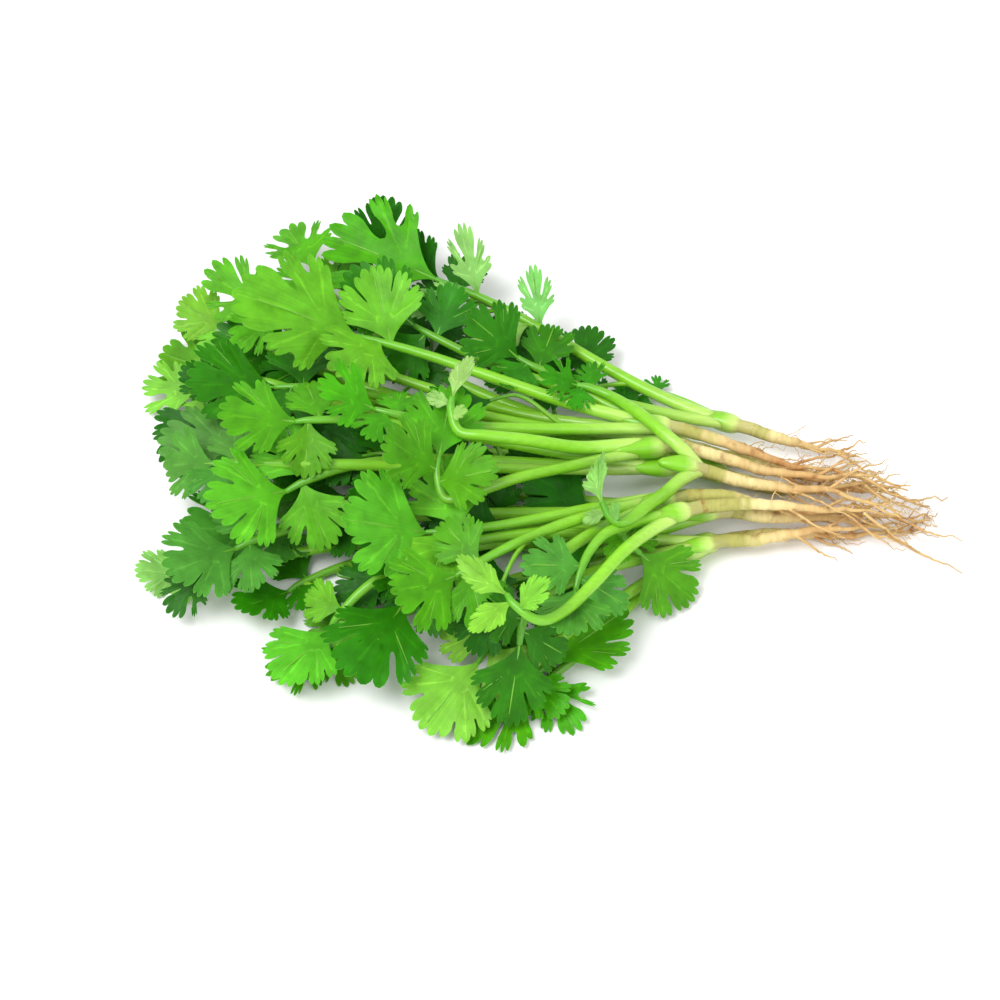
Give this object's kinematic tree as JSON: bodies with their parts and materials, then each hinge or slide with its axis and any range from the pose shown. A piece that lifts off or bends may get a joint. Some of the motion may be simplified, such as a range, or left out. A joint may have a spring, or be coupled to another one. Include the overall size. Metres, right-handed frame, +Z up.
{
  "type": "coriander bunch",
  "caption": "Bunch of fresh coriander lying on its side, whole plants with lobed green leaves, slim pale green stems and thin tan roots.",
  "frame": {"origin": "centre of the bunch's bounding box, on the surface that it lies on", "axes": "+X from the leaves to the root tips, +Y to the far side as the bunch is seen, +Z up"},
  "size_m": [0.2565, 0.1966, 0.0508],
  "materials": {
    "leaf_green": null,
    "root_tan": null
  },
  "bodies": {
    "root": {"plant_01_leaves": "leaf_green", "plant_01_root": "root_tan", "plant_02_leaves": "leaf_green", "plant_02_root": "root_tan", "plant_03_leaves": "leaf_green", "plant_03_root": "root_tan", "plant_04_leaves": "leaf_green", "plant_04_root": "root_tan", "plant_05_leaves": "leaf_green", "plant_05_root": "root_tan", "plant_06_leaves": "leaf_green", "plant_06_root": "root_tan", "plant_07_leaves": "leaf_green", "plant_07_root": "root_tan", "plant_08_leaves": "leaf_green", "plant_08_root": "root_tan", "plant_09_leaves": "leaf_green", "plant_09_root": "root_tan", "plant_10_leaves": "leaf_green", "plant_10_root": "root_tan", "plant_11_leaves": "leaf_green", "plant_11_root": "root_tan", "plant_12_leaves": "leaf_green", "plant_12_root": "root_tan", "plant_13_leaves": "leaf_green", "plant_13_root": "root_tan", "plant_14_leaves": "leaf_green", "plant_14_root": "root_tan"}
  },
  "joints": []
}
